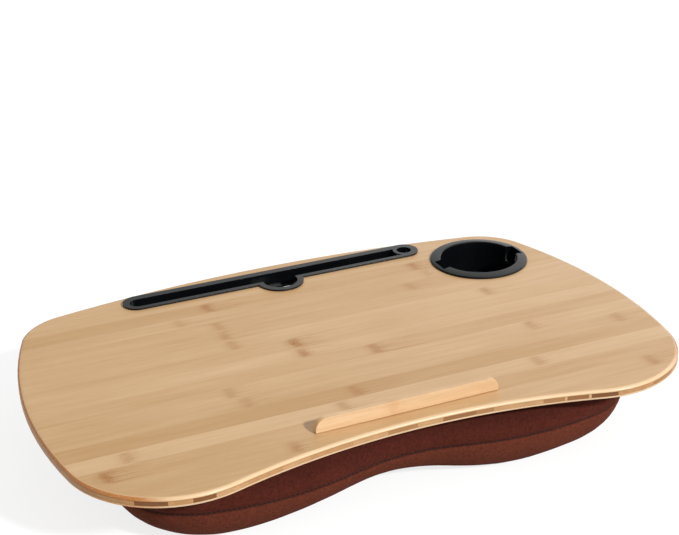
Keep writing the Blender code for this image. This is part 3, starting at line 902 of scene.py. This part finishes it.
def cushion_rows():
    """Every row of the cushion from the top's spine to the bottom's, and the seam's row number.

    Round the corner the share and the fall are a cosine and a sine of the row's turn, to
    the power of 2 / CORNER_POWER. The valley is a squared cosine of the distance from
    its middle line.
    """
    cap = ring(side_radii[-1][None], cap_shares)
    cap_z = np.full(cap.shape[:2], liner_high.z)
    edge = ring(side_radii[-1][None], np.array((1.0,)))
    edge_z = np.full(edge.shape[:2], (liner_low.z + liner_high.z) / 2)
    side = ring(radii_at(side_rises), np.ones(len(side_rises)))
    side_z = np.repeat(seam_z + side_rises[:, None] * (side_high.z - seam_z), COLUMNS, axis=1)
    turn = corner_turns * math.pi / 2
    corner_shares = CORNER_START + (1 - CORNER_START) * np.cos(turn) ** (2 / CORNER_POWER)
    corner_falls = (1 - CROWN_SHARE) * np.sin(turn) ** (2 / CORNER_POWER)
    shares = np.concatenate((corner_shares, flat_shares * CORNER_START))
    falls = np.concatenate((corner_falls, 1 - CROWN_SHARE * flat_shares**2))
    lower = ring(side_radii[0][None], shares)
    across = np.minimum(abs(lower[..., 0] - VALLEY_X) / VALLEY_HALF_WIDTH, 1)
    valley = VALLEY_RISE * np.cos(across * math.pi / 2) ** 2
    lower_z = np.maximum(seam_z - (seam_z + RESTING_CUT - valley) * falls[:, None], 0)
    plan = np.concatenate((cap, edge, side, lower))
    height = np.concatenate((cap_z, edge_z, side_z, lower_z))
    return np.dstack((plan, height)), len(cap) + len(edge) + len(side) - 1


def grid_mesh(name, rows, shade=None):
    """Quads between rows of points that close round their columns, with doubled points merged.

    A shade for each point, if given, becomes the attribute that the knit reads.
    """
    index = np.arange(rows.shape[0] * rows.shape[1]).reshape(rows.shape[:2])
    after = np.roll(index, -1, axis=1)
    faces = np.stack((index[:-1], index[1:], after[1:], after[:-1]), axis=-1).reshape(-1, 4)
    mesh = bpy.data.meshes.new(name)
    mesh.from_pydata(rows.reshape(-1, 3).tolist(), [], faces.tolist())
    if shade is not None:
        layer = mesh.attributes.new("seam_shade", "FLOAT", "POINT")
        layer.data.foreach_set("value", shade.ravel().astype(np.float32))
    cleaned(mesh)
    return linked(name, mesh)


rows, seam_row = cushion_rows()
print("cushion rows", rows.shape, "seam row", seam_row)

# %% [markdown]
# ## Let the beads push
# A filled cover bulges between its seams, and it does so unevenly. The form above
# is remeshed to even faces and drawn in a little. Blender's Cloth then pushes it out
# from inside for twenty frames, while the seam and the top that is taped to the
# board stay put. What the fine grid takes from it is how far the cloth stands out
# from the form at each place, between nought and a cap, so the seam keeps its
# crisp line and the panels swell between it and the board.
#
# Three more things go into the move. The cover is a little fuller than the solids
# all over. Near the board it is tucked in, by a cube of its height on the band, as
# it is drawn under the edge by the tapes. And where the cup holder hangs beside the
# cushion, no point goes nearer to it than a small clearance. The part on the floor
# stays flat.

# %% Cloth
VOXEL = 0.0055
CLOTH_FRAMES = 20
PRESSURE = 4.0
START_INSET = 0.0008
BULGE_CAP = 0.0034
HELD_BAND = 0.005
NEARLY_LEVEL = 0.8
NEIGHBOURS = 10
FULLNESS = 0.0012
TUCK = 0.0026
TUCK_POWER = 3
CUP_CLEARANCE = 0.0006
SPINE_FADE = np.array((0.6, 0.3, 0.0))
SHORTEST_NORMAL = 1e-9


def applied(piece, name):
    """Applies one modifier of a piece."""
    bpy.context.view_layer.update()
    with bpy.context.temp_override(object=piece, active_object=piece):
        bpy.ops.object.modifier_apply(modifier=name)


def array_of(mesh, field="co"):
    """A mesh's points, or their normals, as an array of rows."""
    values = np.empty(len(mesh.vertices) * 3)
    mesh.vertices.foreach_get(field, values)
    return values.reshape(-1, 3)


def swelling(source):
    """Points of the form, and how far the pressure has pushed each one out along its normal.

    The push is counted from the drawn-in start and eased towards the cap: cap times the
    hyperbolic tangent of push over cap.
    """
    blown = linked("cushion_blown", source.data.copy())
    remesh = blown.modifiers.new("even_faces", "REMESH")
    remesh.mode = "VOXEL"
    remesh.voxel_size = VOXEL
    applied(blown, "even_faces")
    normals = array_of(blown.data, "normal")
    form_points = array_of(blown.data)
    start = form_points - normals * START_INSET
    blown.data.vertices.foreach_set("co", start.ravel())
    height = form_points[:, 2]
    near_seam = (abs(height - seam_z) < HELD_BAND) & (abs(normals[:, 2]) < NEARLY_LEVEL)
    held_points = np.flatnonzero(near_seam | (height > side_high.z - HELD_BAND))
    held = blown.vertex_groups.new(name="held")
    held.add(held_points.tolist(), 1.0, "REPLACE")
    cloth = blown.modifiers.new("cloth", "CLOTH")
    cloth.settings.use_pressure = True
    cloth.settings.uniform_pressure_force = PRESSURE
    cloth.settings.vertex_group_mass = "held"
    cloth.settings.effector_weights.gravity = 0
    cloth.point_cache.frame_start = 1
    cloth.point_cache.frame_end = CLOTH_FRAMES
    scene = bpy.context.scene
    for number in range(1, CLOTH_FRAMES + 1):
        scene.frame_set(number)
    applied(blown, "cloth")
    scene.frame_set(1)
    out = ((array_of(blown.data) - start) * normals).sum(axis=1)
    bpy.data.objects.remove(blown)
    return form_points, BULGE_CAP * np.tanh(np.maximum(out, 0) / BULGE_CAP)


def spread(points, values, targets):
    """Values at the targets: a mean over the nearest points, by 1 / (distance + VOXEL)."""
    tree = KDTree(len(points))
    for number, point in enumerate(points):
        tree.insert(point, number)
    tree.balance()
    result = np.empty(len(targets))
    for number, target in enumerate(targets):
        found = tree.find_n(target, NEIGHBOURS)
        numbers = [index for _, index, _ in found]
        weights = 1 / (np.array([distance for _, _, distance in found]) + VOXEL)
        result[number] = (values[numbers] * weights).sum() / weights.sum()
    return result


def room_beside(node, points, clearance):
    """How far each point can move before it comes nearer to a solid than the clearance."""
    tree = surface_of(node)
    return np.array([tree.find_nearest(Vector(point))[3] for point in points]) - clearance


def grid_normals(rows):
    """Outward directions of the grid: the cross product of the steps down and along it."""
    along = np.roll(rows, -1, axis=1) - np.roll(rows, 1, axis=1)
    down = np.gradient(rows, axis=0)
    normals = np.cross(down, along)
    return normals / np.maximum(np.linalg.norm(normals, axis=2, keepdims=True), SHORTEST_NORMAL)


def filled(rows):
    """Rows moved out along their normals: fullness less the tuck, plus the cloth's swelling."""
    form = grid_mesh("cushion_form", rows)
    points, swell = swelling(form)
    bpy.data.objects.remove(form)
    flat_rows = rows.reshape(-1, 3)
    climb = np.clip((flat_rows[:, 2] - seam_z) / (side_high.z - seam_z), 0, 1)
    moved = FULLNESS - TUCK * climb**TUCK_POWER + spread(points, swell, flat_rows)
    room = room_beside("cup_holder", flat_rows, CUP_CLEARANCE)
    moved = np.minimum(moved, room).reshape(rows.shape[:2])
    moved[: len(cap_shares) + 1] = 0
    moved[-len(SPINE_FADE) :] *= SPINE_FADE[:, None]
    rows = rows + grid_normals(rows) * moved[..., None]
    rows[:, :, 2] = np.maximum(rows[:, :, 2], 0)
    mean, most = ((value * 1000).round(2) for value in (moved.mean(), moved.max()))
    print("panels swell", mean, "mm on average,", most, "at most")
    return rows


rows = filled(rows)

# %% [markdown]
# ## Seam, stitches and the finished cover
# Where the two panels are sewn the fabric is pulled into a narrow groove, and the
# thread gathers it into faint puckers that die out within a couple of centimetres.
# Both are moves along the plan's own outward direction, so they are added to the
# rows before the mesh is made. The thread is a run of short stitches laid in the
# groove, each one a small capsule.

# %% Sew the seam
GROOVE_DEPTH = 0.0012
GROOVE_WIDTH = 0.0011
# How dark the painted shade in the groove is at its middle.
GROOVE_SHADE = 0.95
PUCKER_DEPTH = 0.00014
PUCKER_REACH = 0.012
PUCKER_WAVES = ((0.0105, 0.0), (0.0148, 1.7), (0.0235, 4.1))


def outward(loop):
    """Level directions out of a closed run of points: the step past each one, turned a quarter."""
    along = np.roll(loop[:, :2], -1, axis=0) - np.roll(loop[:, :2], 1, axis=0)
    along /= np.linalg.norm(along, axis=1, keepdims=True)
    return np.column_stack((along[:, 1], -along[:, 0], np.zeros(len(loop))))


def sewn(rows):
    """Rows pulled in along the seam, the groove's shade, and where the seam's points lie along it.

    The groove is a bell curve of the distance from the seam. The puckers are a sum of
    sines along the seam, each with its pitch and phase, that fades with the distance.
    The last two results are the length up to each point of the seam, and its full length.
    """
    seam = rows[seam_row]
    steps = np.linalg.norm(np.diff(np.vstack((seam, seam[:1])), axis=0), axis=1)
    travelled = np.concatenate(((0,), np.cumsum(steps)[:-1]))
    length = steps.sum()
    distance = np.linalg.norm(rows - seam, axis=2)
    bell = np.exp(-((distance / GROOVE_WIDTH) ** 2))
    waves = sum(
        np.sin(math.tau * round(length / pitch) * travelled / length + phase)
        for pitch, phase in PUCKER_WAVES
    )
    near = np.exp(-distance / PUCKER_REACH) * (1 - np.exp(-distance / GROOVE_WIDTH))
    pull = GROOVE_DEPTH * bell - PUCKER_DEPTH * waves[None] * near
    pulled = rows - outward(seam)[None] * pull[..., None]
    return pulled, GROOVE_SHADE * bell, travelled, length


rows, shade, travelled, seam_length = sewn(rows)
cushion = grid_mesh("cushion_cover", rows, shade)
cushion.data.materials.append(brown_knit)
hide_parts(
    "cushion_side_panel",
    "cushion_lower_panel",
    "cushion_top_liner",
    "cushion_fill_left",
    "cushion_fill_right",
)
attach(cushion, "desk")
print("cushion faces", len(cushion.data.polygons), "and a seam of", round(seam_length, 3), "m")

# %% [markdown]
# A stitch is a capsule of six sides. Its points are written once, as a distance
# along the seam and two across it, and every stitch places them in its own three
# directions: along the seam, out of it and upwards.

# %% Lay the stitches
STITCH_PITCH = 0.0040
STITCH_LENGTH = 0.0029
STITCH_RADIUS = 0.00032
STITCH_SIDES = 6
STITCH_STATIONS = np.array((-0.5, -0.42, -0.2, 0.2, 0.42, 0.5)) * STITCH_LENGTH
STITCH_RADII = np.array((0.25, 0.8, 1.0, 1.0, 0.8, 0.25)) * STITCH_RADIUS


def along_loop(loop, travelled, length, places):
    """Points at given lengths along a closed run of points."""
    closed = np.vstack((loop, loop[:1]))
    marks = np.append(travelled, length)
    return np.column_stack([np.interp(places % length, marks, closed[:, k]) for k in range(3)])


def capsule():
    """A stitch's points as rows of (along, across, up), and its faces: quads and two end caps."""
    spin = np.linspace(0, math.tau, STITCH_SIDES, endpoint=False)
    local = np.column_stack(
        (
            np.repeat(STITCH_STATIONS, STITCH_SIDES),
            (STITCH_RADII[:, None] * np.cos(spin)).ravel(),
            (STITCH_RADII[:, None] * np.sin(spin)).ravel(),
        )
    )
    index = np.arange(len(local)).reshape(-1, STITCH_SIDES)
    after = np.roll(index, -1, axis=1)
    quads = np.stack((index[:-1], after[:-1], after[1:], index[1:]), axis=-1).reshape(-1, 4)
    caps = np.stack((index[0][::-1], index[-1]))
    return local, quads, caps


def stitches(loop, travelled, length):
    """One mesh of capsules laid along the seam at an even pitch, and their number."""
    count = int(length / STITCH_PITCH)
    middles = (np.arange(count) + 0.5) * length / count
    place = along_loop(loop, travelled, length, middles)
    along = along_loop(loop, travelled, length, middles + STITCH_PITCH / 4) - place
    along /= np.linalg.norm(along, axis=1, keepdims=True)
    side = np.cross(along, (0, 0, 1))
    upward = np.cross(side, along)
    local, quads, caps = capsule()
    points = place[:, None] + local @ np.stack((along, side, upward), axis=1)
    stride = np.arange(count)[:, None, None] * len(local)
    faces = (quads[None] + stride).reshape(-1, 4).tolist()
    faces += (caps[None] + stride).reshape(-1, STITCH_SIDES).tolist()
    mesh = bpy.data.meshes.new("seam_stitches")
    mesh.from_pydata(points.reshape(-1, 3).tolist(), [], faces)
    mesh.shade_smooth()
    return linked("seam_stitches", mesh), count


thread_line = rows[seam_row] + outward(rows[seam_row]) * STITCH_RADIUS
thread, stitch_count = stitches(thread_line, travelled, seam_length)
thread.data.materials.append(seam_thread)
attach(thread, "desk")
print("stitches:", stitch_count)

# %% [markdown]
# ## Floor and light
# The desk stands on a plain pale floor that reads as the photograph's white paper.
# To the camera and in mirrors the floor is mostly its own white with a little of the
# light that falls on it, so the desk's shadow stays but soft. To every other ray it
# is an ordinary matt floor, which lights the cushion from below as a real one would.
#
# One small, strong lamp stands in front and to the right, low enough for the ledge
# to throw a short shadow to its back left, and an even white world fills the rest.
# Mirrors see that world brighter to the right and dimmer to the left, as a room with
# a window on one side would look, so the lacquer's sheen grows along the board.

# %% Floor and light
FLOOR_SIZE = 12.0
FLOOR_GREY = grey(0.65)
FLOOR_SEEN_GREY = grey(0.26)
FLOOR_GLOW = 0.80
WHITE = grey(1.0)
WORLD_STRENGTH = 0.55
SHEEN_RISE = 2.4
SHEEN_LEAST = 0.5
SHEEN_MOST = 1.6
LAMP_STRENGTH = 3.0
LAMP_AZIMUTH = math.radians(25)
LAMP_ELEVATION = math.radians(33)
LAMP_ANGLE = math.radians(5)


def floor_finish():
    """Mostly its own white to the camera and in mirrors, and matt to every other ray."""
    finish = Finish("floor", base_color=FLOOR_GREY, roughness=1.0)
    camera_ray = finish.node("LightPath", output="Is Camera Ray")
    mirror_ray = finish.node("LightPath", output="Is Glossy Ray")
    soft = finish.node("BsdfDiffuse", Color=FLOOR_SEEN_GREY)
    own = finish.node("Emission", Color=WHITE, Strength=FLOOR_GLOW)
    seen = finish.node("AddShader", _0=soft, _1=own)
    matt = Wire(finish.shader.outputs[0])
    both = finish.node("MixShader", _0=camera_ray.at_least(mirror_ray), _1=matt, _2=seen)
    feed(finish.tree.nodes["Material Output"].inputs["Surface"], both)
    return finish.material


def make_floor():
    """A large square under the desk."""
    half = FLOOR_SIZE / 2
    corners = [(-half, -half, 0), (half, -half, 0), (half, half, 0), (-half, half, 0)]
    mesh = bpy.data.meshes.new("floor")
    mesh.from_pydata(corners, [], [(0, 1, 2, 3)])
    mesh.materials.append(floor_finish())
    floor = linked("floor", mesh)


def make_world():
    """White to the camera, brighter to the right for mirrors, and an even fill for everything else."""
    world = bpy.data.worlds.new("room")
    bpy.context.scene.world = world
    world.use_nodes = True
    room = Nodes(world.node_tree)
    fill = room.tree.nodes["Background"]
    feed(fill.inputs["Color"], WHITE)
    feed(fill.inputs["Strength"], WORLD_STRENGTH)
    camera_ray = room.node("LightPath", output="Is Camera Ray")
    mirror_ray = room.node("LightPath", output="Is Glossy Ray")
    way = room.node("TexCoord", output="Generated")
    east, north = (room.node("SeparateXYZ", output=k, Vector=way) for k in range(2))
    rightward = east * right.x + north * right.y
    sheen = (rightward * SHEEN_RISE + 1).at_least(SHEEN_LEAST).at_most(SHEEN_MOST)
    seen = room.node("Background", Color=WHITE, Strength=mirror_ray * (sheen - 1) + 1)
    direct = camera_ray.at_least(mirror_ray)
    both = room.node("MixShader", _0=direct, _1=Wire(fill.outputs[0]), _2=seen)
    feed(room.tree.nodes["World Output"].inputs["Surface"], both)


def make_lamp():
    """A distant lamp in front of the desk and to the right."""
    light = bpy.data.lights.new("lamp", "SUN")
    light.energy = LAMP_STRENGTH
    light.angle = LAMP_ANGLE
    lamp = linked("lamp", light)
    towards_lamp = pointing(LAMP_AZIMUTH, LAMP_ELEVATION)
    lamp.matrix_world = towards_lamp.to_track_quat("Z", "Y").to_matrix().to_4x4()


make_floor()
make_world()
make_lamp()
bpy.context.scene.view_settings.view_transform = "Standard"
print("floor, world and lamp ready")
